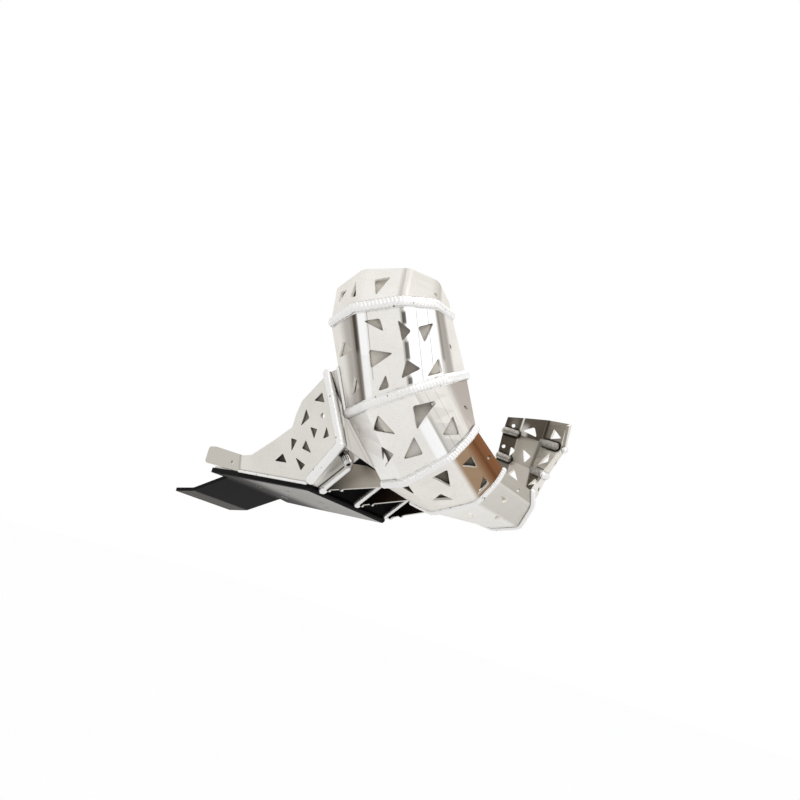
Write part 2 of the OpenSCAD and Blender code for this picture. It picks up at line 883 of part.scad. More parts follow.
module front_washers() {
    color([0.62, 0.62, 0.62])
        place()
            at_bolts()
                difference() {
                    cylinder(r = bolt_radius * 1.85, h = washer_sheet);
                    translate([0, 0, -1])
                        cylinder(r = bolt_radius + bolt_play, h = 4);
                }
}

module front_nuts() {
    color([0.55, 0.55, 0.55])
        place()
            at_bolts()
                translate([0, 0, washer_sheet])
                    difference() {
                        cylinder(r = bolt_radius * 1.85, h = nut_height, $fn = 6);
                        translate([0, 0, -1])
                            cylinder(r = bolt_radius, h = nut_height + 2);
                    }
}

module front_sleeves() {
    color([0.45, 0.45, 0.45])
        place()
            at_bolts()
                translate([0, 0, sleeve_foot])
                    difference() {
                        cylinder(r = bolt_radius * 1.5, h = sleeve_length);
                        translate([0, 0, -1])
                            cylinder(r = bolt_radius + bolt_play, h = sleeve_length + 2);
                        for (i = [0:11])
                            rotate([0, 0, 30 * i])
                                translate([bolt_radius * 1.5, 0, -1])
                                    cylinder(r = 0.7, h = sleeve_length + 2, $fn = 16);
                    }
}

floor_panel();
wall_right();
wall_left();
wall_liner_right();
wall_liner_left();
plastic_bottom();
plastic_screws();
plastic_nuts();
rib_right();
rib_centre();
rib_left();
guard_1();
guard_2();
guard_3();
guard_4();
guard_5();
guard_6();
guard_7();
guard_8();
bead_1();
bead_2();
bead_3();
bead_4();
bead_5();
bead_6();
bead_7();
inner_beads();
inner_plate();
gusset();
gusset_bead();
rib_beads();
front_bead_right();
front_bead_left();
upper_bead_right();
upper_bead_left();
floor_bead_right();
floor_bead_left();
front_bolts();
front_nuts();
front_sleeves();
front_washers();
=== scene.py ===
import math
import random

import bmesh
import bpy
from mathutils import Matrix, Vector
from mathutils.bvhtree import BVHTree


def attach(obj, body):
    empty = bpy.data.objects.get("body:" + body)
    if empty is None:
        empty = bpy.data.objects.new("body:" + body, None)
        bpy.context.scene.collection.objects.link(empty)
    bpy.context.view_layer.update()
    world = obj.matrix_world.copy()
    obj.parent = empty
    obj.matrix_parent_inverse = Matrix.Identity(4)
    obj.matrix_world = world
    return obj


bl_info = {
    "name": "Motorcycle Skid Plate",
    "version": (1, 0, 0),
    "blender": (4, 5, 0),
    "location": "View3D > Sidebar > Skid Plate",
    "description": "Dresses a welded aluminium skid plate with its folded exhaust guard",
    "category": "Object",
}

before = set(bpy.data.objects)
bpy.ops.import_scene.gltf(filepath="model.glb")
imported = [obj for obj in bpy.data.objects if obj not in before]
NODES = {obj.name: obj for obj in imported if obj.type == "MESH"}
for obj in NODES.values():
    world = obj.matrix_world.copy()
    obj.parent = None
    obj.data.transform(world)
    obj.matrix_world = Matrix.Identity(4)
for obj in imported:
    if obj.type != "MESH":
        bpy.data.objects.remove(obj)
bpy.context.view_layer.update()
MM = 0.001

# Measures of the part's source, in millimetres and degrees

# Where the underside of the floor bends up. The places below start from here
FRONT_BEND = Vector((112.5, 0, -4))
HALF_FLOOR = 100
TAB_FOLD = 150
WALL_LEAN = math.radians(18.3)
# The side seams at the floor, at the fold and at the top: how far forward and how far up
SEAM_ENDS = ((0, 0), (60, 60), (22, 154))
# The guard at each weld: its pipe line, then azimuth and rise of its outer side
STATIONS = [
    (85, -135, 280, -35, 5), (95, -135, 245, -35, -10), (115, -80, 155, -30, -25),
    (145, -50, 105, -10, -30), (140, 30, 110, 15, -45), (145, 120, 100, 35, -30),
    (150, 110, 140, 60, -20), (165, 110, 178, 65, -10), (165, 105, 190, 60, -5),
]
LAST_STATION = len(STATIONS) - 1
# Distance of the fold lines from the pipe line, at the guard's first and last station
GUARD_RADII = (82, 113)
# Turns of the five fold lines round the pipe line
FOLDS_RIGHT = (-95, -50, -5, 30, 70)
FOLDS_FOOT = (-70, -45, 0, 25, 35)
FOLDS_LEFT = (-55, -40, -15, 30, 50)
FACETS = 4
OUTSIDE, INSIDE = 1, -1

# Width of the weld bead at each station, and how far short of a fold it stops
BEAD_WIDTHS = (0, 16, 15, 13, 11, 11, 12, 12)
FOLD_TRIM = 3.5
# Radii of the straight welds
FRONT_BEAD, UPPER_BEAD, FLOOR_BEAD, GUSSET_BEAD, INNER_BEAD = 7.5, 7.0, 2.6, 3.2, 6.25
# Welds of the ribs: name, place across the part and radius, then the ends of their outer line
RIB_BEADS = (("rib_right", -70, 7.0), ("rib_centre", 15, 6.0), ("rib_left", 95, 5.0))
RIB_BEAD_ENDS = ((6, 8.6), (43, 45.6))
# Welds inside the left arm: station, facet, and where they start and end across it
INNER_BEADS = ((6, 0, 0.1, 0.85), (6, 2, 0.3, 0.85), (7, 0, 0.1, 0.9), (7, 2, 0.15, 0.8))

# Width of a bead whose ripples lie one pitch apart; a narrower bead has them closer
PITCH_WIDTH = 17
# Half width and half length of a ripple on the guard, as shares of half the bead's width
RIPPLE_WIDE, RIPPLE_LONG = 0.9, 0.9 * 0.85
# Distance and half length of the ripples of a straight weld, as shares of its radius
STRAIGHT_STEP, STRAIGHT_LONG = 0.6, 0.62
# How far a ripple of the guard leans on the next one, in radians
RIPPLE_LEAN = 0.32
# Height of a bead over its line where no surface is found
PLAIN_HEIGHT = 3.0

FORWARD, LEFT, UP = Vector((1, 0, 0)), Vector((0, 1, 0)), Vector((0, 0, 1))

# Size of the picture in pixels, and width of the camera's sensor in millimetres
PICTURE = 800
SENSOR = 36
# The middle of the part, in metres, its place in the picture and the focal length, in pixels
MIDDLE = Vector((0.1625, 0, 0.116))
COLUMN, LINE, FOCAL = 394.7, 433.2, 699.0

# Painted light and shade on the guard, with a few dark marks, thin lines and a brown tint: shade
# and highlights at the folds, lighter and darker facets. Sheet and side, then from a fold and mm
# beyond it to a fold and mm beyond it, softness in mm, from and to along the sheet, colour,
# strength
SHADES = (
    # first sheet of the right arm: painted shade at its second and third folds and on the facet
    # between
    (0, OUTSIDE, 3, -8, 3, 14, 5, 0.0, 1.0, "#BDB8B0", 0.5),
    (0, OUTSIDE, 2, -7, 2, 3, 2.5, 0.0, 1.0, "#BEBAB3", 0.8),
    (0, OUTSIDE, 2, 3, 3, 0, 3, 0.0, 1.0, "#D8D5CE", 0.8),
    # second sheet: painted shade at its first fold and on its fourth facet, painted highlights
    # beside the first fold and on the third facet, dark marks on its second fold, thin lines
    (1, OUTSIDE, 0, 26, 1, 0, 12, 0.0, 1.0, "#A19B94", 0.7),
    (1, OUTSIDE, 1, -13, 1, 0, 5, 0.0, 1.0, "#7E766D", 0.6),
    (1, OUTSIDE, 1, -7, 1, 1, 2.5, -0.2, 1.2, "#5B5248", 0.65),
    (1, OUTSIDE, 1, -7, 1, 0, 2.5, -0.2, 0.45, "#352C23", 0.7),
    (1, OUTSIDE, 1, 2, 1, 12, 1.5, 0.0, 0.5, "#FFFFFF", 1.0),
    (1, OUTSIDE, 1, 2, 1, 11, 2, 0.5, 1.0, "#FFFFFF", 0.75),
    (1, OUTSIDE, 1, 14, 1, 14.8, 0.5, 0.05, 0.75, "#77726B", 0.7),
    (1, OUTSIDE, 2, -5, 2, 0, 1.5, 0.0, 1.0, "#AFABA4", 0.8),
    (1, OUTSIDE, 2, 1, 3, -4, 1.5, 0.0, 1.0, "#FFFFFF", 1.0),
    (1, OUTSIDE, 2, -3, 2, 2.5, 1.0, 0.12, 0.26, "#4C4741", 0.9),
    (1, OUTSIDE, 2, -3, 2, 2.5, 1.0, 0.46, 0.66, "#56514B", 0.85),
    (1, OUTSIDE, 2, -3, 2, 2.5, 1.0, 0.86, 0.97, "#56514B", 0.85),
    (1, OUTSIDE, 2, 17, 2, 17.8, 0.5, 0.1, 0.9, "#7F7A73", 0.7),
    (1, OUTSIDE, 2, 33, 2, 33.8, 0.5, 0.1, 0.85, "#7F7A73", 0.7),
    (1, OUTSIDE, 3, -3, 3, 22, 6, 0.0, 1.0, "#A39D96", 0.75),
    (1, OUTSIDE, 3, -2, 3, 3, 2.0, 0.05, 0.75, "#6E665C", 0.6),
    # third sheet: painted highlights on its first facet and at its second fold, painted shade on
    # its third and fourth facets
    (2, OUTSIDE, 0, -30, 1, 0, 3, 0.0, 1.0, "#FFFFFF", 0.3),
    (2, OUTSIDE, 2, 1, 3, 0, 2, 0.0, 1.0, "#C2BFBA", 0.95),
    (2, OUTSIDE, 2, -14, 2, 1, 2.5, 0.42, 1.2, "#FFFFFF", 1.0),
    (2, OUTSIDE, 2, 1, 2, 4, 1.5, 0.4, 1.2, "#A49E96", 0.6),
    (2, OUTSIDE, 2, 14, 2, 14.8, 0.5, 0.1, 0.9, "#8F8A83", 0.6),
    (2, OUTSIDE, 2, 27, 2, 27.8, 0.5, 0.1, 0.9, "#8F8A83", 0.6),
    (2, OUTSIDE, 3, 0, 4, 20, 2, 0.0, 1.0, "#BDB5AE", 0.95),
    # fourth sheet: brown on its last two facets, darker beyond its third fold
    (3, OUTSIDE, 2, 4, 4, 20, 5, 0.0, 1.0, "#A78D73", 1.0),
    (3, OUTSIDE, 3, -9, 4, 20, 7, 0.0, 1.0, "#845C42", 0.95),
    (3, OUTSIDE, 3, -2, 3, 3, 1.5, 0.0, 1.0, "#6F4B33", 0.7),
    (3, OUTSIDE, 4, -5, 4, 20, 3, 0.0, 1.0, "#94694B", 0.5),
    # fifth sheet: painted highlight on its first two facets, painted shade on its last two
    (4, OUTSIDE, 0, -20, 2, -2, 4, 0.0, 1.0, "#FFFFFF", 0.35),
    (4, OUTSIDE, 2, -2, 3, 0, 5, 0.0, 1.0, "#D6D3CC", 0.9),
    (4, OUTSIDE, 3, 0, 4, 20, 1.5, 0.0, 1.0, "#BAB4AA", 0.95),
    # inside of the left arm: painted shade facet by facet, painted light in strips and on its last
    # facet
    (5, INSIDE, 0, -30, 1, 0, 2, 0.5, 1.3, "#7A7268", 1.0),
    (5, INSIDE, 1, 0, 2, 0, 2, 0.0, 1.3, "#BDB7AE", 1.0),
    (5, INSIDE, 2, 0, 4, 20, 2, 0.3, 1.3, "#8A8378", 1.0),
    (6, INSIDE, 0, -30, 1, 0, 2, -0.5, 1.5, "#564E45", 1.0),
    (6, INSIDE, 1, 0, 2, 0, 2, -0.5, 1.5, "#A09A8F", 1.0),
    (6, INSIDE, 1, 14, 2, -6, 8, 0.0, 0.5, "#B8B3AA", 0.8),
    (6, INSIDE, 0, -30, 4, 20, 3, 0.82, 1.5, "#1F1A16", 0.7),
    (6, INSIDE, 2, 0, 4, 20, 2, -0.5, 1.5, "#D5D0C6", 1.0),
    (6, INSIDE, 2, -3, 2, 4, 2.5, -0.5, 1.5, "#5A534A", 0.8),
    (7, INSIDE, 0, -30, 1, 0, 2, -0.5, 1.5, "#575048", 1.0),
    (7, INSIDE, 0, 8, 0, 22, 6, 0.2, 1.2, "#8F8980", 0.8),
    (7, INSIDE, 1, 0, 2, 0, 2, -0.5, 1.5, "#5E574E", 1.0),
    (7, INSIDE, 1, 0, 1, 14, 4, -0.5, 0.6, "#DAD6CF", 0.9),
    (7, INSIDE, 1, -1, 1, 2, 0.8, -0.5, 1.5, "#F4F2EE", 1.0),
    (7, INSIDE, 2, 0, 4, 20, 2, -0.5, 1.5, "#9E978C", 1.0),
    (7, INSIDE, 2, -3, 2, 10, 5, -0.5, 1.5, "#4A433A", 0.85),
    (5, INSIDE, 3, -12, 4, 20, 1.5, 0.3, 1.5, "#F0EDE8", 1.0),
    (6, INSIDE, 3, -12, 4, 20, 1.5, -0.5, 1.5, "#F0EDE8", 1.0),
    (7, INSIDE, 3, -9, 4, 20, 1.5, -0.5, 0.7, "#F0EDE8", 1.0),
)


def linear(hex_colour):
    """Turns an sRGB hex colour into the linear colour that a node takes."""
    parts = [int(hex_colour[i:i + 2], 16) / 255 for i in (1, 3, 5)]
    lit = (c / 12.92 if c <= 0.04045 else ((c + 0.055) / 1.055) ** 2.4 for c in parts)
    return (*lit, 1.0)


def fill(tree, node, inputs):
    """Links inputs of a node to sockets, or sets their values."""
    for key, value in inputs.items():
        if isinstance(value, bpy.types.NodeSocket):
            tree.links.new(value, node.inputs[key])
        else:
            node.inputs[key].default_value = value


def add(tree, kind, inputs=None, **settings):
    """Adds one node with its settings and inputs."""
    node = tree.nodes.new(kind)
    for name, value in settings.items():
        setattr(node, name, value)
    fill(tree, node, inputs or {})
    return node


# Lines of the guard


def folds(k):
    """Turns of the fold lines round the pipe line at one station."""
    if k <= 2:
        return FOLDS_RIGHT
    if k <= 4:
        return FOLDS_FOOT
    if k == 5:
        return tuple((a + b) / 2 for a, b in zip(FOLDS_FOOT, FOLDS_LEFT))
    return FOLDS_LEFT


def pipe(k):
    """The pipe line at one station."""
    return Vector(STATIONS[k][:3]) + FRONT_BEND


def tangent(k):
    """Direction of the pipe line at one station."""
    before = (pipe(k) - pipe(k - 1)).normalized() if k > 0 else Vector()
    after = (pipe(k + 1) - pipe(k)).normalized() if k < LAST_STATION else Vector()
    return (before + after).normalized()


def corner(k, j):
    """Where a fold line meets a station."""
    azimuth, rise = (math.radians(v) for v in STATIONS[k][3:])
    level = math.cos(rise)
    way = Vector((math.cos(azimuth) * level, math.sin(azimuth) * level, math.sin(rise)))
    ahead = tangent(k)
    out = (way - ahead * way.dot(ahead)).normalized()
    turn = math.radians(folds(k)[j])
    first, last = GUARD_RADII
    radius = first + (last - first) * k / LAST_STATION
    return pipe(k) + radius * (math.sin(turn) * out.cross(ahead) + math.cos(turn) * out)


CORNERS = [[corner(k, j) for j in range(FACETS + 1)] for k in range(LAST_STATION + 1)]


def on_facet(s, j, along, across):
    """A point of a facet, as shares of its length and width."""
    start = CORNERS[s][j].lerp(CORNERS[s][j + 1], across)
    end = CORNERS[s + 1][j].lerp(CORNERS[s + 1][j + 1], across)
    return start.lerp(end, along)


def outward(s, j):
    """From the pipe line to the middle of a facet."""
    return on_facet(s, j, 0.5, 0.5) - (pipe(s) + pipe(s + 1)) / 2


def facet_normal(s, j):
    """Outward normal of a facet."""
    a = CORNERS[s + 1][j + 1] - CORNERS[s][j]
    b = CORNERS[s][j + 1] - CORNERS[s + 1][j]
    normal = a.cross(b).normalized()
    return normal if normal.dot(outward(s, j)) > 0 else -normal


def weld_normal(k, j):
    """Outward direction on a weld, between the two facets that it joins."""
    return (facet_normal(k - 1, j) + facet_normal(k, j)).normalized()


def fold_plane(s, j):
    """Point and normal of the plane through a fold line and the pipe line, facing the next fold."""
    start, end = CORNERS[s][j], CORNERS[s + 1][j]
    normal = (end - start).cross((start + end - pipe(s) - pipe(s + 1)) / 2).normalized()
    onward = CORNERS[s][min(j + 1, FACETS)] - CORNERS[s][max(j - 1, 0)]
    return start, (normal if normal.dot(onward) > 0 else -normal)


def bead_line(k, step):
    """Points along a weld between two guard sheets, each with its outward direction."""
    line = []
    for j in range(FACETS):
        start, end = CORNERS[k][j], CORNERS[k][j + 1]
        out = weld_normal(k, j)
        trim_start = 0 if j == 0 else FOLD_TRIM
        trim_end = 0 if j == FACETS - 1 else FOLD_TRIM
        length = (end - start).length
        line.append((start + (end - start) * trim_start / length, out))
        line.append((end - (end - start) * trim_end / length, out))
    return resample(line, step)


def resample(line, step):
    """The same line with evenly spaced points."""
    marks = [0.0]
    for a, b in zip(line, line[1:]):
        marks.append(marks[-1] + (b[0] - a[0]).length)
    count = max(2, round(marks[-1] / step))
    rows = []
    for i in range(count + 1):
        at = marks[-1] * i / count
        s = max(n for n in range(len(marks) - 1) if marks[n] <= at + 1e-6)
        share = (at - marks[s]) / max(marks[s + 1] - marks[s], 1e-6)
        (point, out), (next_point, next_out) = line[s], line[s + 1]
        rows.append((point.lerp(next_point, share), out.lerp(next_out, share)))
    return rows


def seam(i, side):
    """One of the ends of a side seam."""
    forward, up = SEAM_ENDS[i]
    return Vector((forward, side * (HALF_FLOOR + math.tan(WALL_LEAN) * up), up)) + FRONT_BEND


def straight_beads():
    """Name, start, end and radius of each straight weld."""
    rows = []
    for name, side in (("right", -1), ("left", 1)):
        foot, fold, top = (seam(i, side) for i in range(3))
        rows.append(("front_" + name, foot.lerp(fold, 0.12), fold, FRONT_BEAD))
        rows.append(("upper_" + name, fold, top, UPPER_BEAD))
        back, front = (Vector((x, side * HALF_FLOOR, 1)) + FRONT_BEND for x in (-TAB_FOLD, -2))
        rows.append(("floor_" + name, back, front, FLOOR_BEAD))
    for name, y, radius in RIB_BEADS:
        start, end = (Vector((x, y, z - radius)) + FRONT_BEND for x, z in RIB_BEAD_ENDS)
        rows.append((name, start, end, radius))
    above, below = CORNERS[1][0], CORNERS[2][0]
    rows.append(("gusset", above.lerp(below, 0.5), below, GUSSET_BEAD))
    for i, (k, j, start, end) in enumerate(INNER_BEADS):
        inward = -weld_normal(k, j) * (INNER_BEAD + 1)
        left, right = CORNERS[k][j], CORNERS[k][j + 1]
        rows.append(("inner_%d" % (i + 1), left.lerp(right, start) + inward,
                     left.lerp(right, end) + inward, INNER_BEAD))
    return rows


# Masks, each a socket from nought to one


def plane_distance(tree, place, point, normal):
    """How far a point of the surface lies beyond a plane, in millimetres."""
    dot = add(tree, "ShaderNodeVectorMath", {0: place, 1: tuple(normal)}, operation="DOT_PRODUCT")
    return add(tree, "ShaderNodeMath", {0: dot.outputs["Value"], 1: 1 / MM, 2: -point.dot(normal)},
               operation="MULTIPLY_ADD").outputs[0]


def step_at(tree, value, at, soft, rising=True):
    """Rises from nought to one round a value, or falls."""
    low, high = (0.0, 1.0) if rising else (1.0, 0.0)
    return add(tree, "ShaderNodeMapRange", {0: value, 1: at - soft, 2: at + soft, 3: low, 4: high},
               interpolation_type="SMOOTHSTEP").outputs[0]


def together(tree, *masks, operation="MULTIPLY"):
    """Where all of the masks say so, or with MAXIMUM where any does."""
    result = masks[0]
    for mask in masks[1:]:
        result = add(tree, "ShaderNodeMath", {0: result, 1: mask}, operation=operation).outputs[0]
    return result


def between(tree, value, low, high, soft):
    """One inside low..high and nought outside, with soft edges."""
    return together(tree, step_at(tree, value, low, soft),
                    step_at(tree, value, high, soft, rising=False))


def along_normal(tree, way):
    """Cosine of the angle between the surface's normal and a direction."""
    normal = add(tree, "ShaderNodeNewGeometry").outputs["True Normal"]
    return add(tree, "ShaderNodeVectorMath", {0: normal, 1: tuple(way)},
               operation="DOT_PRODUCT").outputs["Value"]


def facing(tree, way, low, soft=0.1):
    """One where the surface looks along a direction."""
    return add(tree, "ShaderNodeMapRange", {0: along_normal(tree, way), 1: low, 2: low + soft,
                                            3: 0.0, 4: 1.0}).outputs[0]


def shade_mask(tree, place, s, where):
    """Where one row of SHADES lies on its sheet."""
    side, low_fold, low, high_fold, high, soft, start, end = where
    masks = [
        step_at(tree, plane_distance(tree, place, *fold_plane(s, low_fold)), low, soft),
        step_at(tree, plane_distance(tree, place, *fold_plane(s, high_fold)), high, soft,
                rising=False),
        facing(tree, outward(s, min(low_fold, FACETS - 1)).normalized() * side, 0.1),
    ]
    if start > 0 or end < 1:
        first = CORNERS[s][low_fold]
        run = CORNERS[s + 1][low_fold] - first
        masks.append(between(tree, plane_distance(tree, place, first, run.normalized()),
                             start * run.length, end * run.length, max(2.5, 2 * soft)))
    return together(tree, *masks)


def rim_mask(tree, place, s):
    """Cut edges of one guard sheet: the faces that stand square to its first three facets."""
    masks = []
    for j in range(FACETS - 1):
        dot = along_normal(tree, facet_normal(s, j))
        flat = add(tree, "ShaderNodeMath", {0: dot}, operation="ABSOLUTE").outputs[0]
        masks.append(together(
            tree, step_at(tree, flat, 0.3, 0.05, rising=False),
            step_at(tree, plane_distance(tree, place, *fold_plane(s, j)), 0, 1),
            step_at(tree, plane_distance(tree, place, *fold_plane(s, j + 1)), 0, 1, rising=False)))
    return together(tree, *masks, operation="MAXIMUM")


# Materials


def begin(name):
    """A new material with its tree, its Principled shader and Object coordinates in metres."""
    material = bpy.data.materials.new(name)
    material.use_nodes = True
    tree = material.node_tree
    tree.nodes.clear()
    shader = add(tree, "ShaderNodeBsdfPrincipled")
    add(tree, "ShaderNodeOutputMaterial", {"Surface": shader.outputs["BSDF"]})
    place = add(tree, "ShaderNodeTexCoord").outputs["Object"]
    return material, tree, shader, place


def tinted(tree, colour, mask, hex_colour, strength=1.0):
    """Lays a colour over another where the mask says so."""
    if strength != 1.0:
        mask = together(tree, mask, strength)
    return add(tree, "ShaderNodeMix", {0: mask, 6: colour, 7: linear(hex_colour)},
               data_type="RGBA").outputs[2]


def mottled(tree, place, scale, detail, first, second):
    """Patches some 1 / scale metres wide, and two colours mixed by them."""
    patches = add(tree, "ShaderNodeTexNoise", {"Vector": place, "Scale": scale, "Detail": detail})
    return patches.outputs["Fac"], tinted(tree, linear(first), patches.outputs["Fac"], second)


def shaded_in_creases(tree, colour, reach, hex_colour, strength, level=0.78):
    """Painted shade in the creases, as the thin dark lines beside the welds."""
    crease = add(tree, "ShaderNodeAmbientOcclusion", {"Distance": reach * MM}, samples=8)
    mask = step_at(tree, crease.outputs["AO"], level, 0.13, rising=False)
    return tinted(tree, colour, mask, hex_colour, strength)


def brushed_aluminium(name, hex_colour, brush, paint=None, rims=None, metallic=0.92,
                      roughness=0.36, crease=(3.0, "#4A4540", 0.8)):
    """Mill-finished aluminium sheet: satin, with fine rolling lines along the brush direction.

    paint lays painted light and shade and marks on the sheet, rims is the number of the guard sheet
    whose cut edges get a painted highlight, and crease gives the reach in millimetres, colour and
    strength of the painted shade in the creases.
    """
    material, tree, shader, place = begin(name)
    turn = Vector((1, 0, 0)).rotation_difference(brush).inverted().to_euler()
    # Rolling lines about 0.7 mm apart and 40 mm long, coarser than the real ones so that they show
    turned = add(tree, "ShaderNodeMapping", {"Vector": place, "Rotation": turn}).outputs[0]
    drawn = add(tree, "ShaderNodeMapping", {"Vector": turned, "Scale": (25, 1400, 1400)}).outputs[0]
    lines = add(tree, "ShaderNodeTexNoise", {"Vector": drawn, "Scale": 1.0, "Detail": 2.0})
    # Cloudy wear of some 45 mm and grit of some 2 mm
    cloud = add(tree, "ShaderNodeTexNoise", {"Vector": place, "Scale": 22.0, "Detail": 3.0,
                                             "Roughness": 0.55})
    grit = add(tree, "ShaderNodeTexNoise", {"Vector": place, "Scale": 420.0, "Detail": 2.0})
    wear = add(tree, "ShaderNodeMapRange", {0: cloud.outputs["Fac"], 1: 0.35, 2: 0.7,
                                            3: 0.0, 4: 0.12})
    colour = tinted(tree, linear(hex_colour), wear.outputs[0], "#A8A297")
    speck = step_at(tree, grit.outputs["Fac"], 0.36, 0.05, rising=False)
    colour = tinted(tree, colour, speck, "#B4AFA7", 0.2)
    if paint:
        colour = paint(tree, place, colour)
    # Painted shade in the creases, as thin dark lines beside the welds
    colour = shaded_in_creases(tree, colour, *crease)
    shader.inputs["Metallic"].default_value = metallic
    if rims is not None:
        # Cut edges, made matt and painted warm white: a painted highlight along them
        edges = rim_mask(tree, place, rims)
        colour = tinted(tree, colour, edges, "#FFFAF2")
        dull = add(tree, "ShaderNodeMath", {0: edges, 1: -metallic, 2: metallic},
                   operation="MULTIPLY_ADD")
        fill(tree, shader, {"Metallic": dull.outputs[0]})
    rough = add(tree, "ShaderNodeMapRange", {0: lines.outputs["Fac"], 1: 0.3, 2: 0.7,
                                             3: roughness - 0.07, 4: roughness + 0.1})
    relief = add(tree, "ShaderNodeMath", {0: grit.outputs["Fac"], 1: 0.35, 2: lines.outputs["Fac"]},
                 operation="MULTIPLY_ADD")
    bump = add(tree, "ShaderNodeBump", {"Height": relief.outputs[0], "Strength": 0.06,
                                        "Distance": 0.4 * MM})
    fill(tree, shader, {"Base Color": colour, "Specular Tint": colour,
                        "Roughness": rough.outputs[0], "Normal": bump.outputs["Normal"]})
    return material


def paint_panel(tree, place, colour):
    """Painted shadow between the ribs, under the front panel."""
    ahead = step_at(tree, plane_distance(tree, place, FRONT_BEND, FORWARD), -4, 1)
    left = step_at(tree, plane_distance(tree, place, Vector((0, -70, 0)), LEFT), 0, 2)
    low = step_at(tree, plane_distance(tree, place, Vector((0, 0, 56)), UP), 0, 2, rising=False)
    under = facing(tree, Vector((0.7, 0, -0.7)), 0.3)
    return tinted(tree, colour, together(tree, ahead, left, low, under), "#1C1C1D")


def paint_wall(tree, place, colour):
    """Painted shade on the rear tab, which turns away from the light, and a soft shaded line at its
    fold.
    """
    behind = plane_distance(tree, place, FRONT_BEND - TAB_FOLD * FORWARD, -FORWARD)
    colour = tinted(tree, colour, step_at(tree, behind, 0, 1.5), "#C9C5BD", 0.85)
    return tinted(tree, colour, between(tree, behind, -2, 3, 2), "#ABA69D", 0.6)


def rib_paint(dark, light):
    """The paint of a rib: painted shade on its faces, lighter towards the guard as a painted
    highlight.
    """
    def paint(tree, place, colour):
        outer = plane_distance(tree, place, FRONT_BEND, Vector((1, 0, 0.5)).normalized())
        sides = facing(tree, -LEFT, 0.8)
        colour = tinted(tree, colour, sides, dark)
        return tinted(tree, colour, together(tree, step_at(tree, outer, 45, 40), sides), light)
    return paint


def paint_gusset(tree, place, colour):
    """Fine dark lines along the weld and along the guard."""
    foot, top = seam(1, -1), CORNERS[2][0]
    weld, edge = seam(2, -1) - foot, CORNERS[3][0] - top
    for start, run, marks in ((foot, weld, (7, 11)), (top, edge, (-5,))):
        over = (top - foot).cross(weld).cross(run).normalized()
        if over.dot(top - foot) < 0:
            over = -over
        for mark in marks:
            distance = plane_distance(tree, place, start, over)
            colour = tinted(tree, colour, between(tree, distance, mark, mark + 0.9, 0.5),
                            "#8A857E", 0.4)
    return colour


def paint_inner_plate(tree, place, colour):
    """Painted shade in the foot, and a painted light patch above it."""
    foot = step_at(tree, plane_distance(tree, place, CORNERS[3][2], tangent(3)), 0, 6)
    above = plane_distance(tree, place, CORNERS[3][2], -tangent(3))
    right = plane_distance(tree, place, *fold_plane(2, 2))
    painted_light_patch = together(tree, between(tree, above, 0, 48, 8), step_at(tree, right, -34, 8))
    colour = tinted(tree, colour, painted_light_patch, "#E4E0DA")
    return tinted(tree, colour, foot, "#756D62")


def guard_paint(s):
    """The painted light and shade and marks of a guard sheet: its rows of SHADES."""
    def paint(tree, place, colour):
        for sheet, *where, hex_colour, strength in SHADES:
            if sheet == s:
                mask = shade_mask(tree, place, s, where)
                colour = tinted(tree, colour, mask, hex_colour, strength)
        return colour
    return paint


def painted_shade_liner():
    """Dark liner: painted shade behind the cut-outs, nearly black at the floor, greyer towards the
    top.
    """
    material, tree, shader, place = begin("dark liner, painted shade")
    colour = mottled(tree, place, 90.0, 4.0, "#0D0C0A", "#1D1B18")[1]
    height = plane_distance(tree, place, Vector((30, 0, 20)), Vector((0.5, 0, 0.86)))
    colour = tinted(tree, colour, step_at(tree, height, 38, 36), "#858077", 0.9)
    fill(tree, shader, {"Base Color": colour, "Roughness": 0.8})
    return material


def fresh_weld():
    """Aluminium weld as laid: bright, fine-grained, with painted shade as dark lines between its
    ripples.
    """
    material, tree, shader, place = begin("aluminium weld, as laid")
    grit, colour = mottled(tree, place, 700.0, 3.0, "#FFFFFF", "#DFDCD7")
    spatter = add(tree, "ShaderNodeTexNoise", {"Vector": place, "Scale": 150.0, "Detail": 1.0})
    spots = step_at(tree, spatter.outputs["Fac"], 0.26, 0.03, rising=False)
    colour = tinted(tree, colour, spots, "#6B655E", 0.8)
    # Painted shade in the creases between the ripples
    colour = shaded_in_creases(tree, colour, 2.5, "#827D77", 0.55, level=0.74)
    bump = add(tree, "ShaderNodeBump", {"Height": grit, "Strength": 0.25, "Distance": 0.4 * MM})
    fill(tree, shader, {"Base Color": colour, "Normal": bump.outputs["Normal"],
                        "Metallic": 0.85, "Roughness": 0.34})
    return material


def painted_shade_weld():
    """The welds inside the left arm: the same metal, mottled grey, with painted black shade in
    their creases.
    """
    material, tree, shader, place = begin("aluminium weld, sooted")
    colour = mottled(tree, place, 160.0, 3.0, "#D5D1CB", "#6E6860")[1]
    # Painted black shade in the creases
    colour = shaded_in_creases(tree, colour, 3.0, "#14110E", 0.95, level=0.8)
    fill(tree, shader, {"Base Color": colour, "Metallic": 0.85, "Roughness": 0.34})
    return material


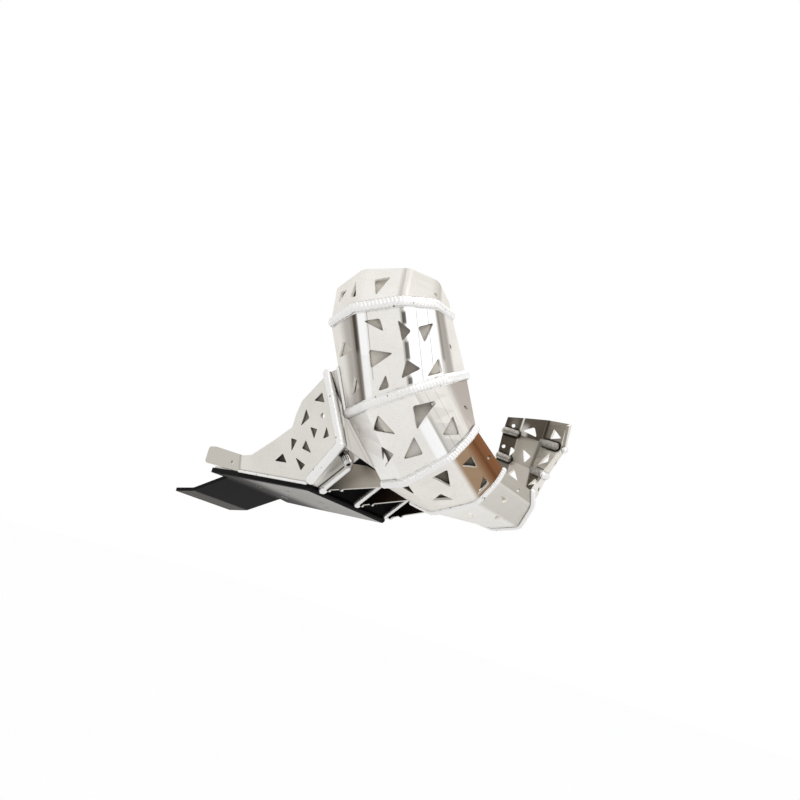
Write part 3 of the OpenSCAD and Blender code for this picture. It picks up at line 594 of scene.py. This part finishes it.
def scuffed_plastic():
    """Black polyethylene sheet: dull black with scuffs, and painted light on its underside."""
    material, tree, shader, place = begin("black polyethylene, scuffed")
    drawn = add(tree, "ShaderNodeMapping", {"Vector": place, "Scale": (18, 500, 200)}).outputs[0]
    scuff = add(tree, "ShaderNodeTexNoise", {"Vector": drawn, "Scale": 1.0, "Detail": 4.0})
    worn = add(tree, "ShaderNodeMapRange", {0: scuff.outputs["Fac"], 1: 0.55, 2: 0.8,
                                            3: 0.0, 4: 0.35})
    colour = tinted(tree, linear("#060505"), worn.outputs[0], "#1C1A18")
    # Painted light on the underside, paler towards the front; painted shade along its right edge
    down = facing(tree, -UP, 0.975, 0.01)
    inward = step_at(tree, plane_distance(tree, place, -HALF_FLOOR * LEFT, LEFT), 9, 2)
    ahead = plane_distance(tree, place, -100 * FORWARD, FORWARD)
    for at, soft, grey, strength in ((15, 15, "#3F3C39", 0.9), (76, 38, "#ACA8A3", 0.95),
                                     (170, 60, "#B4B1AD", 0.9)):
        mask = together(tree, down, inward, step_at(tree, ahead, at, soft))
        colour = tinted(tree, colour, mask, grey, strength)
    # Painted light on the underside of the lip behind the flap
    behind = plane_distance(tree, place, -176 * FORWARD, -FORWARD)
    lip = together(tree, facing(tree, Vector((0.14, 0, -0.99)), 0.975, 0.01),
                   step_at(tree, behind, 0, 2))
    colour = tinted(tree, colour, lip, "#57544F")
    bump = add(tree, "ShaderNodeBump", {"Height": scuff.outputs["Fac"], "Strength": 0.2,
                                        "Distance": 0.3 * MM})
    fill(tree, shader, {"Base Color": colour, "Normal": bump.outputs["Normal"],
                        "Roughness": 0.6, "Specular IOR Level": 0.1})
    return material


def patchy_steel(name, light, dark):
    """Steel fasteners: bright or dull by their plating, with darker patches and painted black shade
    in their creases.
    """
    material, tree, shader, place = begin(name)
    colour = mottled(tree, place, 260.0, 3.0, light, dark)[1]
    # Painted black shade in the creases
    colour = shaded_in_creases(tree, colour, 3.0, "#12100E", 0.95, level=0.8)
    fill(tree, shader, {"Base Color": colour, "Metallic": 0.9, "Roughness": 0.3})
    return material


# Settings


class SkidPlateFinish(bpy.types.PropertyGroup):
    """Ripples of the weld beads."""

    bead_pitch: bpy.props.FloatProperty(
        name="Bead pitch", description="Distance between two ripples of a weld bead",
        subtype="DISTANCE", default=5.6 * MM, min=3 * MM, max=8 * MM)
    bead_rise: bpy.props.FloatProperty(
        name="Bead rise", description="Height of a ripple over its bead", subtype="DISTANCE",
        default=0.9 * MM, min=0.2 * MM, max=2 * MM)


class SkidPlateStage(bpy.types.PropertyGroup):
    """Camera and floor."""

    azimuth: bpy.props.FloatProperty(
        name="Azimuth", description="Direction of the camera round the part", subtype="ANGLE",
        default=math.radians(39.23))
    elevation: bpy.props.FloatProperty(
        name="Elevation", description="Height of the camera, as an angle", subtype="ANGLE",
        default=math.radians(-15.5))
    roll: bpy.props.FloatProperty(
        name="Roll", description="Turn of the camera round its own axis", subtype="ANGLE",
        default=math.radians(16.49))
    distance: bpy.props.FloatProperty(
        name="Distance", description="From the camera to the middle of the part",
        subtype="DISTANCE", default=1.09, min=0.3)
    floor_level: bpy.props.FloatProperty(
        name="Floor level", description="Height of the floor under the part", subtype="DISTANCE",
        default=-0.42)


# Pieces


def dress(node, material):
    """Gives a CAD node its material."""
    mesh = NODES[node].data
    mesh.materials.clear()
    mesh.materials.append(material)


def ripple(bm, at, out, along, half_width, rise, half_length, lean):
    """One ripple of a weld: a flattened ball, which may lean on the next one."""
    along = (along - out * along.dot(out)).normalized()
    turn = Matrix((along, out.cross(along), out)).transposed().to_4x4()
    shape = Matrix.Diagonal((half_length, half_width, rise, 1.0))
    bmesh.ops.create_uvsphere(
        bm, u_segments=16, v_segments=8, radius=1.0,
        matrix=Matrix.Translation(at) @ turn @ Matrix.Rotation(-lean, 4, "Y") @ shape)


def surface_height(surface, at, out):
    """How far the surface of a bead stands over a point on its line, in millimetres."""
    hit = surface.ray_cast((at + out * 20) * MM, -out)[0]
    return PLAIN_HEIGHT if hit is None else (hit / MM - at).dot(out)


def guard_ripples(k, pitch, rise, chance):
    """The ripples of the weld at one station of the guard, a little higher than its bead."""
    bead = NODES["bead_%d" % k]
    surface = BVHTree.FromPolygons([bead.matrix_world @ v.co for v in bead.data.vertices],
                                   [tuple(face.vertices) for face in bead.data.polygons])
    half = BEAD_WIDTHS[k] / 2
    line = bead_line(k, pitch * BEAD_WIDTHS[k] / PITCH_WIDTH)
    bm = bmesh.new()
    for i, (at, out) in enumerate(line):
        out = out.normalized()
        before, after = line[max(i - 1, 0)][0], line[min(i + 1, len(line) - 1)][0]
        half_width = half * RIPPLE_WIDE * chance.uniform(0.94, 1.06)
        top = surface_height(surface, at, out) + rise * chance.uniform(0.8, 1.2)
        ripple(bm, at, out, (after - before).normalized(), half_width, top, half * RIPPLE_LONG,
               RIPPLE_LEAN)
    return bm


def straight_ripples(start, end, radius, chance):
    """The ripples of a straight weld."""
    along = (end - start).normalized()
    out = along.cross(LEFT if abs(along.y) < 0.9 else FORWARD).normalized()
    count = max(3, round((end - start).length / (radius * STRAIGHT_STEP)))
    bm = bmesh.new()
    for i in range(count + 1):
        size = radius * chance.uniform(1.0, 1.06)
        ripple(bm, start.lerp(end, i / count), out, along, size, size, radius * STRAIGHT_LONG, 0.0)
    return bm


def finish_piece(name, bm, material):
    """Turns a bmesh in millimetres into a piece that rides on the part."""
    bmesh.ops.scale(bm, vec=(MM, MM, MM), verts=bm.verts)
    mesh = bpy.data.meshes.new(name)
    bm.to_mesh(mesh)
    bm.free()
    for face in mesh.polygons:
        face.use_smooth = True
    mesh.materials.append(material)
    piece = bpy.data.objects.new(name, mesh)
    bpy.context.scene.collection.objects.link(piece)
    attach(piece, "root")


class SKIDPLATE_OT_sheets(bpy.types.Operator):
    """Give the floor, walls, ribs and gusset their mill-finished aluminium"""

    bl_idname = "skidplate.sheets"
    bl_label = "Folded sheets"

    def execute(self, context):
        dress("floor_panel", brushed_aluminium("aluminium sheet, floor", "#E8E5E0", FORWARD,
                                               paint=paint_panel))
        wall = brushed_aluminium("aluminium sheet, walls", "#E5E2DB",
                                 Vector((1, 0, 0.2)).normalized(), paint=paint_wall)
        for node in ("wall_right", "wall_left"):
            dress(node, wall)
        # Painted shade on each rib's faces, and a painted highlight towards the guard
        for side, dark, light in (("right", "#2E2B27", "#AEA79C"), ("centre", "#161617", "#4A3A30"),
                                  ("left", "#161617", "#3C3028")):
            dress("rib_" + side, brushed_aluminium(
                "aluminium sheet, rib " + side, "#E4E2DC", Vector((1, 0, 0.4)).normalized(),
                paint=rib_paint(dark, light)))
        dress("gusset", brushed_aluminium("aluminium sheet, gusset", "#D6D2CC",
                                          Vector((0, 0.3, 1)).normalized(), paint=paint_gusset))
        return {"FINISHED"}


class SKIDPLATE_OT_linings(bpy.types.Operator):
    """Give the sheet inside the guard and the liners inside the walls their dull colours and
    painted shade
    """

    bl_idname = "skidplate.linings"
    bl_label = "Linings"

    def execute(self, context):
        # Bent aluminium sheet: beige behind the right arm, with painted shade in the foot and
        # painted light above it
        dress("inner_plate", brushed_aluminium(
            "aluminium sheet, sooted", "#DAD4CA", (pipe(2) - pipe(1)).normalized(),
            paint=paint_inner_plate, metallic=0.3, roughness=0.6))
        # Dark liners inside the walls: painted shade seen through their cut-outs
        shade_liner = painted_shade_liner()
        for node in ("wall_liner_right", "wall_liner_left"):
            dress(node, shade_liner)
        return {"FINISHED"}


class SKIDPLATE_OT_guard(bpy.types.Operator):
    """Give the eight sheets of the guard their finish"""

    bl_idname = "skidplate.guard"
    bl_label = "Guard sheets"

    def execute(self, context):
        # Painted shade in each sheet's creases: reach, colour and strength, deepest inside the left
        # arm
        plain, faint, deep_shade = (4.0, "#3E3933", 0.9), (3.0, "#8A857E", 0.5), (5.0, "#1A1613", 0.95)
        creases = (plain, plain, plain, plain, faint, plain, deep_shade, deep_shade)
        for s, crease in enumerate(creases):
            brush = (pipe(s + 1) - pipe(s)).normalized()
            dress("guard_%d" % (s + 1), brushed_aluminium(
                "aluminium sheet, guard %d" % (s + 1), "#F3F0EB", brush, paint=guard_paint(s),
                rims=s, crease=crease))
        return {"FINISHED"}


class SKIDPLATE_OT_weld_beads(bpy.types.Operator):
    """Lay the ripples of every weld bead"""

    bl_idname = "skidplate.weld_beads"
    bl_label = "Weld beads"

    def execute(self, context):
        finish = context.scene.skidplate_finish
        pitch, rise = finish.bead_pitch / MM, finish.bead_rise / MM
        fresh, painted_shade = fresh_weld(), painted_shade_weld()
        chance = random.Random(7)
        for k in range(1, len(BEAD_WIDTHS)):
            dress("bead_%d" % k, fresh)
            finish_piece("ripples_%d" % k, guard_ripples(k, pitch, rise, chance), fresh)
        for node in ("gusset_bead", "rib_beads", "front_bead_right", "front_bead_left",
                     "upper_bead_right", "upper_bead_left", "floor_bead_right", "floor_bead_left"):
            dress(node, fresh)
        dress("inner_beads", painted_shade)
        for name, start, end, radius in straight_beads():
            metal = painted_shade if name.startswith("inner") else fresh
            finish_piece("ripples_" + name, straight_ripples(start, end, radius, chance), metal)
        return {"FINISHED"}


class SKIDPLATE_OT_plastic(bpy.types.Operator):
    """Give the bottom its black plastic"""

    bl_idname = "skidplate.plastic"
    bl_label = "Plastic bottom"

    def execute(self, context):
        dress("plastic_bottom", scuffed_plastic())
        return {"FINISHED"}


class SKIDPLATE_OT_fasteners(bpy.types.Operator):
    """Give the bolts, nuts, sleeves, washers and screws their steel"""

    bl_idname = "skidplate.fasteners"
    bl_label = "Fasteners"

    def execute(self, context):
        for name, nodes, light, dark in (
                ("zinc-plated steel",
                 ("plastic_nuts", "front_washers", "front_sleeves", "front_bolts"),
                 "#FBFAF8", "#77726B"),
                ("dark steel", ("front_nuts",), "#55514B", "#12100E"),
                ("black steel", ("plastic_screws",), "#2A2724", "#0A0908")):
            steel = patchy_steel(name, light, dark)
            for node in nodes:
                dress(node, steel)
        return {"FINISHED"}


def pale_floor(level):
    """A floor nearly as white as the world to the camera and in the metal, matt to the lamps."""
    bm = bmesh.new()
    bmesh.ops.create_grid(bm, x_segments=1, y_segments=1, size=6.0,
                          matrix=Matrix.Translation((0, 0, level)))
    mesh = bpy.data.meshes.new("floor")
    bm.to_mesh(mesh)
    bm.free()
    floor = bpy.data.objects.new("floor", mesh)
    paint = bpy.data.materials.new("pale floor")
    paint.use_nodes = True
    tree = paint.node_tree
    tree.nodes.clear()
    matt = add(tree, "ShaderNodeBsdfDiffuse", {"Color": (0.9, 0.9, 0.9, 1)})
    glow = add(tree, "ShaderNodeEmission", {"Color": (1, 1, 1, 1), "Strength": 1.0})
    rays = add(tree, "ShaderNodeLightPath").outputs
    seen = together(tree, rays["Is Camera Ray"], rays["Is Glossy Ray"], operation="MAXIMUM")
    both = add(tree, "ShaderNodeMixShader", {0: together(tree, seen, 0.96), 1: matt.outputs[0],
                                             2: glow.outputs[0]})
    add(tree, "ShaderNodeOutputMaterial", {"Surface": both.outputs[0]})
    mesh.materials.append(paint)
    return floor


def studio_world():
    """White for the camera and in the metal, and dimmer as light on the part."""
    world = bpy.data.worlds.new("studio")
    world.use_nodes = True
    tree = world.node_tree
    tree.nodes.clear()
    rays = add(tree, "ShaderNodeLightPath").outputs
    seen = together(tree, rays["Is Camera Ray"], rays["Is Glossy Ray"], rays["Is Transmission Ray"],
                    operation="MAXIMUM")
    room = add(tree, "ShaderNodeBackground", {"Color": (0.96, 0.98, 1.0, 1), "Strength": 0.75})
    white = add(tree, "ShaderNodeBackground", {"Color": (1, 1, 1, 1), "Strength": 1.0})
    both = add(tree, "ShaderNodeMixShader", {0: seen, 1: room.outputs[0], 2: white.outputs[0]})
    add(tree, "ShaderNodeOutputWorld", {"Surface": both.outputs[0]})
    return world


def photo_camera(stage):
    """A camera that sees the part as the photo does."""
    a, e, r = stage.azimuth, stage.elevation, stage.roll
    forward = -Vector((math.sin(a) * math.cos(e), -math.cos(a) * math.cos(e), math.sin(e)))
    level = Vector((math.cos(a), math.sin(a), 0))
    upright = level.cross(forward)
    right = math.cos(r) * level + math.sin(r) * upright
    up = math.cos(r) * upright - math.sin(r) * level
    view = bpy.data.cameras.new("camera")
    view.sensor_width = SENSOR
    view.lens = FOCAL / PICTURE * SENSOR
    view.clip_start = 0.01
    shift_right, shift_down = (COLUMN - PICTURE / 2) / FOCAL, (LINE - PICTURE / 2) / FOCAL
    place = MIDDLE - stage.distance * (forward + right * shift_right - up * shift_down)
    camera = bpy.data.objects.new("camera", view)
    turn = Matrix((right, up, -forward)).transposed().to_4x4()
    camera.matrix_world = Matrix.Translation(place) @ turn
    return camera


class SKIDPLATE_OT_stage(bpy.types.Operator):
    """Set the floor, the lamps, the world and the camera"""

    bl_idname = "skidplate.stage"
    bl_label = "Stage"

    def execute(self, context):
        scene = context.scene
        stage = scene.skidplate_stage
        scene.view_settings.view_transform = "Standard"
        floor = pale_floor(stage.floor_level)
        scene.collection.objects.link(floor)
        scene.world = studio_world()
        for name, place, size, power in (
                ("key", (1.6, -1.1, 1.3), 1.2, 7.0), ("fill", (1.9, 0.6, 0.5), 1.4, 2.5),
                ("top", (0.0, 0.3, 2.0), 1.6, 9.0)):
            lamp = bpy.data.lights.new(name, "AREA")
            lamp.size = size
            lamp.energy = power
            holder = bpy.data.objects.new(name, lamp)
            holder.location = place
            way = MIDDLE - Vector(place)
            holder.rotation_euler = way.to_track_quat("-Z", "Y").to_euler()
            scene.collection.objects.link(holder)
        scene.camera = photo_camera(stage)
        scene.collection.objects.link(scene.camera)
        return {"FINISHED"}


class SKIDPLATE_PT_panel(bpy.types.Panel):
    """Settings and steps of the skid plate"""

    bl_idname = "SKIDPLATE_PT_panel"
    bl_label = "Skid Plate"
    bl_space_type = "VIEW_3D"
    bl_region_type = "UI"
    bl_category = "Skid Plate"

    def draw(self, context):
        layout = self.layout
        for group in (context.scene.skidplate_finish, context.scene.skidplate_stage):
            for name in group.__annotations__:
                layout.prop(group, name)
        for step in STEPS:
            layout.operator(step.bl_idname)


STEPS = (SKIDPLATE_OT_sheets, SKIDPLATE_OT_linings, SKIDPLATE_OT_guard, SKIDPLATE_OT_weld_beads,
         SKIDPLATE_OT_plastic, SKIDPLATE_OT_fasteners, SKIDPLATE_OT_stage)
CLASSES = (SkidPlateFinish, SkidPlateStage) + STEPS + (SKIDPLATE_PT_panel,)


def register():
    for cls in CLASSES:
        bpy.utils.register_class(cls)
    bpy.types.Scene.skidplate_finish = bpy.props.PointerProperty(type=SkidPlateFinish)
    bpy.types.Scene.skidplate_stage = bpy.props.PointerProperty(type=SkidPlateStage)


def unregister():
    del bpy.types.Scene.skidplate_finish
    del bpy.types.Scene.skidplate_stage
    for cls in reversed(CLASSES):
        bpy.utils.unregister_class(cls)


def main():
    register()
    bpy.ops.skidplate.sheets()
    bpy.ops.skidplate.linings()
    bpy.ops.skidplate.guard()
    bpy.ops.skidplate.weld_beads()
    bpy.ops.skidplate.plastic()
    bpy.ops.skidplate.fasteners()
    bpy.ops.skidplate.stage()


if __name__ == "__main__":
    main()
